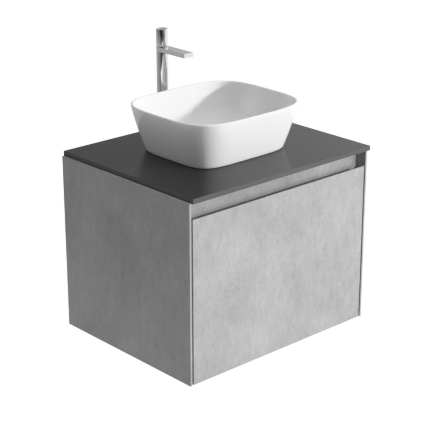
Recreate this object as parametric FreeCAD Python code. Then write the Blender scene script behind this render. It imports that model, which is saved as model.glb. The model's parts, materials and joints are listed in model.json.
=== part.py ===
import FreeCAD, Part
import math
import os

# Wall-hung vanity unit with one handleless drawer, a vessel basin on its worktop and a tall mixer tap.
# Millimetres. X runs to the right, the front faces -Y, the wall is the plane Y = 0, Z is up.
# Heights below are measured from the carcass's underside. When a piece is saved it is lowered by
# FIXING_Z, so the model's origin is the centre of the four wall screws, on the wall's plane.

Vec = FreeCAD.Vector
X_AXIS = Vec(1, 0, 0)
Y_AXIS = Vec(0, 1, 0)
Z_AXIS = Vec(0, 0, 1)

# Cabinet
WIDTH = 600.0
DEPTH = 480.0
HEIGHT = 460.0
PANEL_T = 18.0                          # side panels and horizontal top rails
BOARD_T = 16.0                          # fascia, back rails, bottom panel
HALF_W = WIDTH / 2
INNER_X = HALF_W - PANEL_T              # inner face of a side panel
LIP_T = 6.0                             # what is left of a side panel's front edge beside the rebate
LIP_X = HALF_W - LIP_T
RECESS_DEPTH = 33.0                     # grip recess, from the front edge back to the fascia
FASCIA_Y = -DEPTH + RECESS_DEPTH
STEP_Y = FASCIA_Y + BOARD_T             # rear end of the side panels' rebate
FIXING_Z = 417.0                        # height of the wall screws' centre

# Worktop
TOP_T = 12.5
TOP_Z = HEIGHT + TOP_T
TOP_LEFT = -294.5
TOP_RIGHT = 302.0
TOP_FRONT = -DEPTH - 7.0

# Drawer
FRONT_T = 22.0
FRONT_HALF_W = 290.0
FRONT_BOTTOM = 1.0
FRONT_TOP = 419.5
FRONT_BACK_Y = -DEPTH + FRONT_T
FRONT_TOP_FLAT = 2.0                    # flat left on the front's top edge in front of the finger bevel
FASCIA_LAP = 20.0                       # how far the fascia hangs below the drawer front's top
RUNNER_GAP = 12.7                       # room that each runner takes beside the drawer
DRAWER_X = INNER_X - RUNNER_GAP         # outer face of the drawer box
DRAWER_T = 15.0
DRAWER_INNER_X = DRAWER_X - DRAWER_T
DRAWER_BACK_Y = -70.0
DRAWER_Z0 = 50.0
DRAWER_Z1 = 300.0
DRAWER_FLOOR_T = 8.0
SHROUD_X = 92.0                         # inner half width of the slot round the trap
SHROUD_Y = -302.0                       # front end of the slot
SHROUD_T = 8.0

# Runners
RUNNER_Z = 150.0
RUNNER_Y0 = -425.0
RUNNER_Y1 = -45.0
SHEET_T = 1.2

# Basin
BASIN_Y = -236.0
BASIN_H = 120.0
RIM_A, RIM_B, RIM_N = 188.0, 165.0, 3.84      # half axes and exponent of the rim's outline
FOOT_A, FOOT_B, FOOT_N = 149.5, 126.5, 5.1    # the same for the foot
BASIN_WALL = 7.0
BOWL_FLOOR = 16.0
BOWL_R = 46.0                                 # radius between the bowl's floor and its wall
BASIN_FLOOR_Z = TOP_Z + BOWL_FLOOR

# Waste and trap
WASTE_R = 20.5
TAIL_END_Z = 420.0
PIPE_R = 16.0
TRAP_OUTLET_Z = 300.0

# Tap
TAP_Y = -36.5
TAP_R = 15.0
TAP_SHANK_R = 13.0
SPOUT_REACH = 104.0
SPOUT_Z0 = TOP_Z + 213.5
SPOUT_Z1 = TOP_Z + 225.0
HANDLE_TOP = TOP_Z + 271.0
TAP_FOOT_Z = TOP_Z + 6.0
TAIL_X = 5.6                            # half the distance between the two inlet tails
TAIL_BORE = 4.0
CLEARANCE = 0.05                        # radial running clearance


def box(x0, x1, y0, y1, z0, z1):
    return Part.makeBox(x1 - x0, y1 - y0, z1 - z0, Vec(x0, y0, z0))


def rod(radius, length, start, axis=Z_AXIS):
    return Part.makeCylinder(radius, length, Vec(*start), axis)


def tube(outer, inner, length, start, axis=Z_AXIS):
    return rod(outer, length, start, axis).cut(rod(inner, length, start, axis))


def mirrored(shape):
    return shape.mirror(Vec(0, 0, 0), X_AXIS)


def both_sides(shapes):
    return list(shapes) + [mirrored(s) for s in shapes]


def cut_all(shape, tools):
    return shape.cut(Part.makeCompound(tools))


def hexagon(across_flats, bore, height, start):
    corner = across_flats / math.sqrt(3)
    turns = [math.radians(60 * i) for i in range(7)]
    points = [Vec(start[0] + corner * math.cos(t), start[1] + corner * math.sin(t), start[2]) for t in turns]
    prism = Part.Face(Part.makePolygon(points)).extrude(Vec(0, 0, height))
    return prism.cut(rod(bore, height, start))


def save(node, *shapes):
    solids = [solid for shape in shapes for solid in shape.Solids]
    for solid in solids:
        if not solid.isValid():
            raise RuntimeError(node + " has an invalid solid")
    piece = solids[0] if len(solids) == 1 else Part.makeCompound(solids)
    piece = piece.copy()
    piece.translate(Vec(0, 0, -FIXING_Z))
    piece.exportStep("parts/" + node + ".step")


# ---------------------------------------------------------------- fasteners

# Cam fittings join a horizontal board to the side panels: (y, height of the bolt, side of the cam's face)
CAM_R = 7.5
CAM_DEPTH = 12.5
CAM_INSET = 24.5
CAM_BOLT_R = 3.0
CAM_BOLT_IN_PANEL = 11.0
CAM_PLACES = [(-380.0, 8.0, 1), (-80.0, 8.0, 1), (-391.0, 451.0, -1), (-130.0, 451.0, -1)]
BOARD_FACE = {1: BOARD_T, -1: HEIGHT - PANEL_T}   # height of the face that the cam is let into


def cam_bolt(y, z):
    start = INNER_X - CAM_INSET + 4.0
    return rod(CAM_BOLT_R, INNER_X + CAM_BOLT_IN_PANEL - start, (start, y, z), X_AXIS)


def cam_pocket(y, side):
    z = BOARD_FACE[side] - CAM_DEPTH if side > 0 else BOARD_FACE[side]
    return rod(CAM_R, CAM_DEPTH, (INNER_X - CAM_INSET, y, z))


CAM_BOLTS = both_sides([cam_bolt(y, z) for y, z, side in CAM_PLACES])
CAM_POCKETS = both_sides([cam_pocket(y, side) for y, z, side in CAM_PLACES])

# Dowels: across the side panels' joints with the back rails, and from the fascia into the top front rail
DOWEL_R = 4.0
DOWEL_L = 20.0
RAIL_DOWELS = [(-BOARD_T / 2, z) for z in (25.0, 60.0, 352.0, 378.0)]
DOWELS = both_sides(
    [rod(DOWEL_R, DOWEL_L, (INNER_X - DOWEL_L / 2, y, z), X_AXIS) for y, z in RAIL_DOWELS]
    + [rod(DOWEL_R, DOWEL_L, (x, STEP_Y - DOWEL_L / 2, 451.0), Y_AXIS) for x in (80.0, 220.0)]
)

# Wood screws with a round head: the screw starts under its head and runs along its axis
SCREW_R = 2.2
HEAD_R = 4.2
HEAD_H = 1.2


def screw(start, axis, length):
    under = Vec(*start)
    head = Part.makeCylinder(HEAD_R, HEAD_H, under - axis * HEAD_H, axis)
    return head.fuse(Part.makeCylinder(SCREW_R, length, under, axis))


RUNNER_SCREWS = both_sides(
    [screw((INNER_X - SHEET_T, y, RUNNER_Z), X_AXIS, 12.0) for y in (-395.0, -235.0, -75.0)]
)
HANGER_SCREW_X = INNER_X - 14.0
HANGER_SCREWS = both_sides(
    [screw((HANGER_SCREW_X, -50.0, z), X_AXIS, 26.0) for z in (404.0, 432.0)]
)
WORKTOP_SCREWS = both_sides(
    [screw((200.0, y, HEIGHT - PANEL_T), Z_AXIS, 26.0) for y in (-391.0, -130.0)]
)
DRAWER_SCREWS = both_sides(
    [screw((DRAWER_X - HEAD_H, DRAWER_BACK_Y - BOARD_T / 2, z), X_AXIS * -1, 38.0) for z in (110.0, 240.0)]
)


# ---------------------------------------------------------------- carcass

def side_panel():
    """Left panel. Its front edge is rebated inside, so that only a thin lip shows beside the drawer."""
    panel = box(-HALF_W, -INNER_X, -DEPTH, 0, 0, HEIGHT)
    rebate = box(-LIP_X, -INNER_X, -DEPTH, STEP_Y, 0, HEIGHT)
    return cut_all(panel, [rebate] + CAM_BOLTS + DOWELS + RUNNER_SCREWS + HANGER_SCREWS)


def bottom_panel():
    """Full width in front, where it fills the rebates, and between the side panels behind them."""
    inner = box(-INNER_X, INNER_X, STEP_Y, -BOARD_T, 0, BOARD_T)
    front = box(-LIP_X, LIP_X, FRONT_BACK_Y + 2.0, STEP_Y, 0, BOARD_T)
    return cut_all(inner.fuse(front).removeSplitter(), CAM_BOLTS + CAM_POCKETS)


def fascia_rail():
    rail = box(-LIP_X, LIP_X, FASCIA_Y, STEP_Y, FRONT_TOP - FASCIA_LAP, HEIGHT)
    return cut_all(rail, DOWELS)


def top_rail(y0, y1):
    rail = box(-INNER_X, INNER_X, y0, y1, HEIGHT - PANEL_T, HEIGHT)
    return cut_all(rail, CAM_BOLTS + CAM_POCKETS + DOWELS + WORKTOP_SCREWS)


def back_rail(z0, z1):
    return cut_all(box(-INNER_X, INNER_X, -BOARD_T, 0, z0, z1), DOWELS)


def cam_locks():
    """Zinc discs, each with a slot that the head of its bolt is drawn into."""
    discs = []
    for disc in CAM_POCKETS:
        discs.append(cut_all(disc, CAM_BOLTS))
    return discs


def worktop():
    slab = box(TOP_LEFT, TOP_RIGHT, TOP_FRONT, 0, HEIGHT, TOP_Z)
    upper_edges = [e for e in slab.Edges if e.BoundBox.ZMin > TOP_Z - 0.1 and e.BoundBox.YMin < -0.1]
    slab = slab.makeFillet(1.0, upper_edges)
    waste_hole = rod(24.0, TOP_T, (0, BASIN_Y, HEIGHT))
    tap_hole = rod(17.5, TOP_T, (0, TAP_Y, HEIGHT))
    return cut_all(slab, [waste_hole, tap_hole] + WORKTOP_SCREWS)


def bumpers():
    """Rubber buttons on the bottom panel's front edge, which the closed drawer front meets."""
    return both_sides([rod(5.0, 2.0, (240.0, FRONT_BACK_Y, BOARD_T / 2), Y_AXIS)])


# ---------------------------------------------------------------- wall hanging

HOOK_Z = 454.0
PLATE_T = 2.5
PLATE_X0, PLATE_X1 = 215.0, 275.0
SCREW_HOLES = [(240.0, FIXING_Z - 14.0), (240.0, FIXING_Z + 14.0)]
SCREW_HOLE_R = 3.2


def wall_plate():
    """Right plate: flat against the wall, its top bent forward and up into a lip."""
    flat = box(PLATE_X0, PLATE_X1, -PLATE_T, 0, 392.0, 443.0)
    shelf = box(PLATE_X0, PLATE_X1, -9.0, -PLATE_T, 441.0, 443.0)
    lip = box(PLATE_X0, PLATE_X1, -9.0, -7.0, 441.0, HOOK_Z)
    plate = flat.fuse([shelf, lip]).removeSplitter()
    return cut_all(plate, [rod(SCREW_HOLE_R, PLATE_T, (x, -PLATE_T, z), Y_AXIS) for x, z in SCREW_HOLES])


def hanger_bracket():
    """Right bracket: a body on the side panel and an arm that hooks over the wall plate's lip."""
    body = box(INNER_X - 14.0, INNER_X, -75.0, -20.0, 395.0, 452.0)
    arm = box(INNER_X - 14.0, INNER_X - 8.0, -60.0, -4.5, HOOK_Z, HOOK_Z + 3.0)
    neck = box(INNER_X - 14.0, INNER_X - 8.0, -60.0, -24.0, 452.0, HOOK_Z)
    tongue = box(INNER_X - 14.0, INNER_X - 8.0, -6.5, -4.5, 445.0, HOOK_Z)
    shape = body.fuse([arm, neck, tongue]).removeSplitter()
    return cut_all(shape, HANGER_SCREWS)


# ---------------------------------------------------------------- runners

def channel(web_x, flange_x, half_height):
    """Steel channel along Y on the right side. Its web stands at web_x and its flanges reach flange_x."""
    web_inside = web_x + math.copysign(SHEET_T, flange_x - web_x)
    outer_x = sorted([web_x, flange_x])
    inner_x = sorted([web_inside, flange_x])
    inner_half = half_height - SHEET_T
    outer = box(*outer_x, RUNNER_Y0, RUNNER_Y1, RUNNER_Z - half_height, RUNNER_Z + half_height)
    return outer.cut(box(*inner_x, RUNNER_Y0, RUNNER_Y1, RUNNER_Z - inner_half, RUNNER_Z + inner_half))


def runner_cabinet():
    return cut_all(channel(INNER_X, INNER_X - 10.0, 22.5), RUNNER_SCREWS)


def runner_middle():
    return channel(INNER_X - 3.2, INNER_X - 11.4, 18.5)


def runner_drawer():
    return channel(DRAWER_X, DRAWER_X + 7.2, 14.5)


# ---------------------------------------------------------------- drawer

def drawer_front():
    """The top edge is bevelled towards the back, so that fingers can pull it from the grip recess."""
    bevel = FRONT_T - FRONT_TOP_FLAT
    profile = [
        Vec(-FRONT_HALF_W, -DEPTH, FRONT_BOTTOM),
        Vec(-FRONT_HALF_W, FRONT_BACK_Y, FRONT_BOTTOM),
        Vec(-FRONT_HALF_W, FRONT_BACK_Y, FRONT_TOP - bevel),
        Vec(-FRONT_HALF_W, FRONT_BACK_Y - bevel, FRONT_TOP),
        Vec(-FRONT_HALF_W, -DEPTH, FRONT_TOP),
        Vec(-FRONT_HALF_W, -DEPTH, FRONT_BOTTOM),
    ]
    return Part.Face(Part.makePolygon(profile)).extrude(Vec(2 * FRONT_HALF_W, 0, 0))


def drawer_side():
    side = box(DRAWER_INNER_X, DRAWER_X, FRONT_BACK_Y, DRAWER_BACK_Y, DRAWER_Z0, DRAWER_Z1)
    return cut_all(side, DRAWER_SCREWS)


def drawer_back():
    """Right half of the back, from the trap's slot to the side."""
    half = box(SHROUD_X, DRAWER_INNER_X, DRAWER_BACK_Y - BOARD_T, DRAWER_BACK_Y, DRAWER_Z0, DRAWER_Z1)
    return cut_all(half, DRAWER_SCREWS)


def drawer_bottom():
    rear = DRAWER_BACK_Y - BOARD_T
    floor = box(-DRAWER_INNER_X, DRAWER_INNER_X, FRONT_BACK_Y, rear, DRAWER_Z0, DRAWER_Z0 + DRAWER_FLOOR_T)
    return floor.cut(box(-SHROUD_X, SHROUD_X, SHROUD_Y, rear, DRAWER_Z0, DRAWER_Z0 + DRAWER_FLOOR_T))


def drawer_shroud():
    """U-shaped wall that keeps what is in the drawer away from the trap."""
    rear = DRAWER_BACK_Y - BOARD_T
    z0 = DRAWER_Z0 + DRAWER_FLOOR_T
    outer = box(-SHROUD_X - SHROUD_T, SHROUD_X + SHROUD_T, SHROUD_Y - SHROUD_T, rear, z0, DRAWER_Z1)
    return outer.cut(box(-SHROUD_X, SHROUD_X, SHROUD_Y, rear, z0, DRAWER_Z1))


def front_brackets():
    """Steel angles in the drawer's front corners."""
    angles = []
    for z in (90.0, 240.0):
        on_side = box(DRAWER_INNER_X - 2.0, DRAWER_INNER_X, FRONT_BACK_Y, FRONT_BACK_Y + 16.0, z, z + 30.0)
        on_front = box(DRAWER_INNER_X - 26.0, DRAWER_INNER_X, FRONT_BACK_Y, FRONT_BACK_Y + 2.0, z, z + 30.0)
        angles.append(on_side.fuse(on_front).removeSplitter())
    return both_sides(angles)


# ---------------------------------------------------------------- basin

def outline(half_x, half_y, exponent, z, count=48):
    """Closed superellipse round the basin's axis."""
    points = []
    for i in range(count):
        turn = 2 * math.pi * i / count
        c = math.cos(turn)
        s = math.sin(turn)
        reach = (abs(c / half_x) ** exponent + abs(s / half_y) ** exponent) ** (-1 / exponent)
        points.append(Vec(reach * c, BASIN_Y + reach * s, z))
    curve = Part.BSplineCurve()
    curve.interpolate(points, PeriodicFlag=True)
    return Part.Wire(curve.toShape())


def wall_section(rise, inset=0.0):
    """Half axes and exponent of the basin's outside at a share of its height, drawn in by inset."""
    flare = 0.83 * rise + 0.17 * rise * (2 - rise)
    half_x = FOOT_A + (RIM_A - FOOT_A) * flare - inset
    half_y = FOOT_B + (RIM_B - FOOT_B) * flare - inset
    return half_x, half_y, FOOT_N + (RIM_N - FOOT_N) * rise


def bowl_sections():
    """Inside of the bowl: a quarter round out of the floor, then the wall up past the rim."""
    sections = []
    for degrees in (0, 30, 60, 90):
        turn = math.radians(degrees)
        z = BOWL_FLOOR + BOWL_R * (1 - math.cos(turn))
        inset = BASIN_WALL + 3.0 + BOWL_R * (1 - math.sin(turn))
        sections.append((z, inset))
    sections.append((BASIN_H - 22.0, BASIN_WALL + 1.0))
    sections.append((BASIN_H, BASIN_WALL))
    return sections


def basin():
    outer_rises = (0.0, 0.25, 0.5, 0.75, 1.0)
    outer_wires = [outline(*wall_section(t), TOP_Z + t * BASIN_H) for t in outer_rises]
    bowl_wires = [outline(*wall_section(z / BASIN_H, inset), TOP_Z + z) for z, inset in bowl_sections()]
    shell = Part.makeLoft(outer_wires, True).cut(Part.makeLoft(bowl_wires, True))
    rim_edges = [e for e in shell.Edges if e.BoundBox.ZMin > TOP_Z + BASIN_H - 0.5]
    shell = shell.makeFillet(2.6, rim_edges)
    foot_recess = Part.Face(outline(*wall_section(0.0, 14.0), TOP_Z)).extrude(Vec(0, 0, 3.0))
    waste_hole = rod(23.0, BOWL_FLOOR, (0, BASIN_Y, TOP_Z))
    flange_seat = rod(32.0, 3.0, (0, BASIN_Y, BASIN_FLOOR_Z - 3.0))
    return cut_all(shell, [foot_recess, waste_hole, flange_seat])


def foot_seal():
    return tube(44.0, 26.0, 3.0, (0, BASIN_Y, TOP_Z))


# ---------------------------------------------------------------- waste

GUIDE_Z0 = BASIN_FLOOR_Z - 30.0
GUIDE_Z1 = BASIN_FLOOR_Z - 12.0
WASTE_BORE = 17.0
CAP_STEM_R = 4.0
CAP_LIFT = 6.0


def waste_body():
    flange = rod(31.5, 3.0, (0, BASIN_Y, BASIN_FLOOR_Z - 3.0))
    tail = rod(WASTE_R, BASIN_FLOOR_Z - 3.0 - TAIL_END_Z, (0, BASIN_Y, TAIL_END_Z))
    way = rod(WASTE_BORE, BASIN_FLOOR_Z - TAIL_END_Z, (0, BASIN_Y, TAIL_END_Z))
    body = flange.fuse(tail).cut(way)
    hub = rod(8.0, GUIDE_Z1 - GUIDE_Z0, (0, BASIN_Y, GUIDE_Z0))
    bar_x = box(-WASTE_BORE - 1, WASTE_BORE + 1, BASIN_Y - 2, BASIN_Y + 2, GUIDE_Z0, GUIDE_Z1)
    bar_y = box(-2, 2, BASIN_Y - WASTE_BORE - 1, BASIN_Y + WASTE_BORE + 1, GUIDE_Z0, GUIDE_Z1)
    body = body.fuse([hub, bar_x, bar_y]).removeSplitter()
    return body.cut(rod(CAP_STEM_R + CLEARANCE, 60.0, (0, BASIN_Y, GUIDE_Z0 - 20.0)))


def waste_cap():
    """Push-top cap on its stem, shown raised."""
    z0 = BASIN_FLOOR_Z + CAP_LIFT
    dome_r = 180.0
    disc = rod(30.0, 8.0, (0, BASIN_Y, z0))
    dome = Part.makeSphere(dome_r, Vec(0, BASIN_Y, z0 + 8.0 - dome_r))
    disc = disc.common(dome)
    stem = rod(CAP_STEM_R, z0 - GUIDE_Z0 + 4.0, (0, BASIN_Y, GUIDE_Z0 - 4.0))
    return disc.fuse(stem)


def waste_backnut():
    return hexagon(52.0, WASTE_R, 12.0, (0, BASIN_Y, HEIGHT - 15.0))


# ---------------------------------------------------------------- trap

TRAP_R = 32.0
NECK_R = 20.0
STUB_R = 19.0
STUB_END = BASIN_Y + 58.0
PIPE_BORE = 13.5
SPIGOT_R = 15.4
SPIGOT_Y = BASIN_Y + 34.0
PLAIN_PIPE_Y = BASIN_Y + 66.0


def nut_with_lip(outer, thread, lip, start, length, axis):
    """Plastic nut: a threaded barrel that ends in a lip round the pipe."""
    barrel = tube(outer, thread, length - 3.0, start, axis)
    end = Vec(*start) + axis * (length - 3.0)
    return barrel.fuse(tube(outer, lip, 3.0, tuple(end), axis)).removeSplitter()


def trap_coupling_nut():
    return nut_with_lip(27.0, WASTE_R, PIPE_R + 0.1, (0, BASIN_Y, 432.0), 30.0, Z_AXIS * -1)


def trap_inlet_tube():
    pipe = tube(PIPE_R, PIPE_BORE, 167.0, (0, BASIN_Y, 250.0))
    flare = tube(20.0, PIPE_BORE, 2.0, (0, BASIN_Y, 417.0))
    return pipe.fuse(flare).removeSplitter()


def trap_coupling_seal():
    return tube(20.0, 14.5, 1.0, (0, BASIN_Y, 419.0))


def trap_body():
    bottle = rod(TRAP_R, 75.0, (0, BASIN_Y, 255.0))
    neck = rod(NECK_R, 15.0, (0, BASIN_Y, 330.0))
    stub = rod(STUB_R, STUB_END - BASIN_Y, (0, BASIN_Y, TRAP_OUTLET_Z), Y_AXIS)
    hollow = rod(TRAP_R - 3.0, 72.0, (0, BASIN_Y, 255.0))
    inlet = rod(PIPE_R + 0.1, 20.0, (0, BASIN_Y, 326.0))
    outlet = rod(SPIGOT_R + 0.1, STUB_END - BASIN_Y, (0, BASIN_Y, TRAP_OUTLET_Z), Y_AXIS)
    return cut_all(bottle.fuse([neck, stub]).removeSplitter(), [hollow, inlet, outlet])


def trap_inlet_nut():
    return nut_with_lip(25.0, NECK_R, PIPE_R + 0.1, (0, BASIN_Y, 333.0), 18.0, Z_AXIS)


def trap_cup():
    cup = rod(35.0, 57.0, (0, BASIN_Y, 222.0))
    seat = rod(TRAP_R, 27.0, (0, BASIN_Y, 252.0))
    sump = rod(TRAP_R - 3.0, 30.0, (0, BASIN_Y, 226.0))
    grip = [
        box(-2.0, 2.0, BASIN_Y - 26.0, BASIN_Y + 26.0, 218.0, 222.0),
        box(-26.0, 26.0, BASIN_Y - 2.0, BASIN_Y + 2.0, 218.0, 222.0),
    ]
    return cut_all(cup.fuse(grip).removeSplitter(), [seat, sump])


def trap_outlet_nut():
    return nut_with_lip(24.0, STUB_R, SPIGOT_R, (0, BASIN_Y + 45.0, TRAP_OUTLET_Z), 18.0, Y_AXIS)


def trap_outlet_pipe():
    """A spigot held by the outlet nut, then the plain pipe that the drain's socket in the wall takes."""
    spigot = rod(SPIGOT_R, PLAIN_PIPE_Y - SPIGOT_Y, (0, SPIGOT_Y, TRAP_OUTLET_Z), Y_AXIS)
    plain = rod(PIPE_R, -PLAIN_PIPE_Y, (0, PLAIN_PIPE_Y, TRAP_OUTLET_Z), Y_AXIS)
    way = rod(PIPE_BORE, -SPIGOT_Y, (0, SPIGOT_Y, TRAP_OUTLET_Z), Y_AXIS)
    return spigot.fuse(plain).cut(way)


# ---------------------------------------------------------------- tap

SEAT_Z = TOP_Z + 190.0
SEAT_R = 12.4
WAIST_R = 9.0
WAIST_TOP = SPOUT_Z1 - 1.0
OUTLET_Y = TAP_Y - SPOUT_REACH + 15.0
AERATOR_R = 9.8
SHANK_TOP = TAP_FOOT_Z + 25.0
SHANK_END = HEIGHT - 20.0
STEM_R = 4.0
HANDLE_GAP = 0.6
HANDLE_Z0 = SPOUT_Z1 + HANDLE_GAP
SOCKET_Z0 = HANDLE_Z0 + 12.4
TAIL_STEP_Z = 400.0
TAIL_END = 360.0


def tap_body():
    """Column and flat spout in one casting. The spout's rear end is as round as the column."""
    column = rod(TAP_R, SPOUT_Z0 - TAP_FOOT_Z, (0, TAP_Y, TAP_FOOT_Z))
    slab = box(-TAP_R, TAP_R, TAP_Y - SPOUT_REACH, TAP_Y, SPOUT_Z0, SPOUT_Z1)
    slab = slab.makeFillet(0.8, [e for e in slab.Edges if e.BoundBox.YMax < TAP_Y - SPOUT_REACH + 0.1])
    head = rod(TAP_R, SPOUT_Z1 - SPOUT_Z0, (0, TAP_Y, SPOUT_Z0))
    body = column.fuse([slab, head]).removeSplitter()
    hollows = [
        rod(TAP_SHANK_R, SHANK_TOP - TAP_FOOT_Z, (0, TAP_Y, TAP_FOOT_Z)),
        rod(TAP_SHANK_R - 2.0, SEAT_Z - SHANK_TOP, (0, TAP_Y, SHANK_TOP)),
        rod(SEAT_R, SPOUT_Z1 - SEAT_Z, (0, TAP_Y, SEAT_Z)),
        rod(3.5, TAP_Y - OUTLET_Y, (0, OUTLET_Y, SPOUT_Z0 + 6.5), Y_AXIS),
        rod(AERATOR_R, 8.0, (0, OUTLET_Y, SPOUT_Z0)),
    ]
    return cut_all(body, hollows)


def aerator():
    """Insert in the spout's underside with a ring of small outlets."""
    z0 = SPOUT_Z0 + 0.5
    outlets = [rod(1.0, 6.0, (0, OUTLET_Y, z0))]
    for ring, count in ((3.0, 6), (6.0, 12)):
        for i in range(count):
            turn = 2 * math.pi * i / count
            outlets.append(rod(1.0, 6.0, (ring * math.cos(turn), OUTLET_Y + ring * math.sin(turn), z0)))
    return cut_all(rod(AERATOR_R, 6.0, (0, OUTLET_Y, z0)), outlets)


def base_ring():
    ring = rod(25.0, 4.5, (0, TAP_Y, TOP_Z + 1.5))
    ring = ring.makeFillet(1.5, [e for e in ring.Edges if e.BoundBox.ZMin > TAP_FOOT_Z - 0.1])
    return ring.cut(rod(TAP_SHANK_R, 4.5, (0, TAP_Y, TOP_Z + 1.5)))


def tap_seals():
    """Seal under the base ring and a washer against the worktop's underside."""
    upper = tube(24.0, 17.5, 1.5, (0, TAP_Y, TOP_Z))
    lower = tube(25.0, TAP_SHANK_R + 0.2, 2.0, (0, TAP_Y, HEIGHT - 2.0))
    return upper, lower


def tap_shank():
    return tube(TAP_SHANK_R, TAP_SHANK_R - 2.0, SHANK_TOP - SHANK_END, (0, TAP_Y, SHANK_END))


def inlet_tail(x):
    """Copper tail from the cartridge down through the shank. Its plain end takes a compression fitting."""
    upper = rod(4.8, SEAT_Z - TAIL_STEP_Z, (x, TAP_Y, TAIL_STEP_Z))
    tail = upper.fuse(rod(5.0, TAIL_STEP_Z - TAIL_END, (x, TAP_Y, TAIL_END)))
    return tail.cut(rod(TAIL_BORE, SEAT_Z - TAIL_END, (x, TAP_Y, TAIL_END)))


def tap_washer():
    """Steel washer between the lower seal and the backnut."""
    return tube(24.0, TAP_SHANK_R + 0.2, 2.0, (0, TAP_Y, HEIGHT - 4.0))


def tap_backnut():
    return hexagon(36.0, TAP_SHANK_R, 8.0, (0, TAP_Y, HEIGHT - 12.0))


def cartridge_body():
    lower = rod(SEAT_R, SPOUT_Z0 - SEAT_Z, (0, TAP_Y, SEAT_Z))
    return lower.fuse(rod(WAIST_R, WAIST_TOP - SPOUT_Z0, (0, TAP_Y, SPOUT_Z0)))


def cartridge_nut():
    return tube(SEAT_R, WAIST_R, 6.5, (0, TAP_Y, SPOUT_Z1 - 1.5))


def cartridge_stem():
    return rod(STEM_R, SOCKET_Z0 + 8.0 - WAIST_TOP - 0.3, (0, TAP_Y, WAIST_TOP + 0.3))


def tap_handle():
    body = rod(TAP_R, HANDLE_TOP - HANDLE_Z0, (0, TAP_Y, HANDLE_Z0))
    body = body.makeFillet(0.8, [e for e in body.Edges if e.BoundBox.ZMin > HANDLE_TOP - 0.1])
    hollows = [
        rod(SEAT_R + 0.8, SOCKET_Z0 - HANDLE_Z0, (0, TAP_Y, HANDLE_Z0)),
        rod(STEM_R, 8.0, (0, TAP_Y, SOCKET_Z0)),
        rod(1.6, TAP_R, (0, TAP_Y, SOCKET_Z0 + 4.0), Y_AXIS),
    ]
    return cut_all(body, hollows)


def grub_screw():
    return rod(1.6, 8.0, (0, TAP_Y + STEM_R, SOCKET_Z0 + 4.0), Y_AXIS)


# ---------------------------------------------------------------- assembly

os.makedirs("parts", exist_ok=True)

save("side_panel_left", side_panel())
save("side_panel_right", mirrored(side_panel()))
save("bottom_panel", bottom_panel())
save("fascia_rail", fascia_rail())
save("top_front_rail", top_rail(STEP_Y, STEP_Y + 80.0))
save("top_rear_rail", top_rail(-170.0, -90.0))
save("back_rail_lower", back_rail(0, 80.0))
save("back_rail_upper", back_rail(340.0, 390.0))
save("cam_locks", *cam_locks())
save("cam_bolts", *CAM_BOLTS)
save("dowels", *DOWELS)
save("worktop", worktop())
save("drawer_bumpers", *bumpers())

save("wall_plate_right", wall_plate())
save("wall_plate_left", mirrored(wall_plate()))
save("hanger_bracket_right", hanger_bracket())
save("hanger_bracket_left", mirrored(hanger_bracket()))

for name, make in (("cabinet", runner_cabinet), ("middle", runner_middle), ("drawer", runner_drawer)):
    save("runner_" + name + "_right", make())
    save("runner_" + name + "_left", mirrored(make()))
save("cabinet_screws", *RUNNER_SCREWS, *HANGER_SCREWS, *WORKTOP_SCREWS)

save("drawer_front", drawer_front())
save("drawer_side_right", drawer_side())
save("drawer_side_left", mirrored(drawer_side()))
save("drawer_back_right", drawer_back())
save("drawer_back_left", mirrored(drawer_back()))
save("drawer_bottom", drawer_bottom())
save("drawer_shroud", drawer_shroud())
save("front_brackets", *front_brackets())
save("drawer_screws", *DRAWER_SCREWS)

save("basin", basin())
save("basin_foot_seal", foot_seal())
save("waste_body", waste_body())
save("waste_cap", waste_cap())
save("waste_washer", tube(29.0, WASTE_R, 3.0, (0, BASIN_Y, HEIGHT - 3.0)))
save("waste_backnut", waste_backnut())
save("trap_coupling_nut", trap_coupling_nut())
save("trap_coupling_seal", trap_coupling_seal())
save("trap_inlet_tube", trap_inlet_tube())
save("trap_inlet_nut", trap_inlet_nut())
save("trap_body", trap_body())
save("trap_cup", trap_cup())
save("trap_outlet_nut", trap_outlet_nut())
save("trap_outlet_pipe", trap_outlet_pipe())

save("tap_body", tap_body())
save("tap_aerator", aerator())
save("tap_base_ring", base_ring())
save("tap_seals", *tap_seals())
save("tap_shank", tap_shank())
save("tap_inlet_tails", inlet_tail(-TAIL_X), inlet_tail(TAIL_X))
save("tap_washer", tap_washer())
save("tap_backnut", tap_backnut())
save("cartridge_body", cartridge_body())
save("cartridge_nut", cartridge_nut())
save("cartridge_stem", cartridge_stem())
save("tap_handle", tap_handle())
save("handle_grub_screw", grub_screw())
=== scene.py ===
import json
import math

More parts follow.
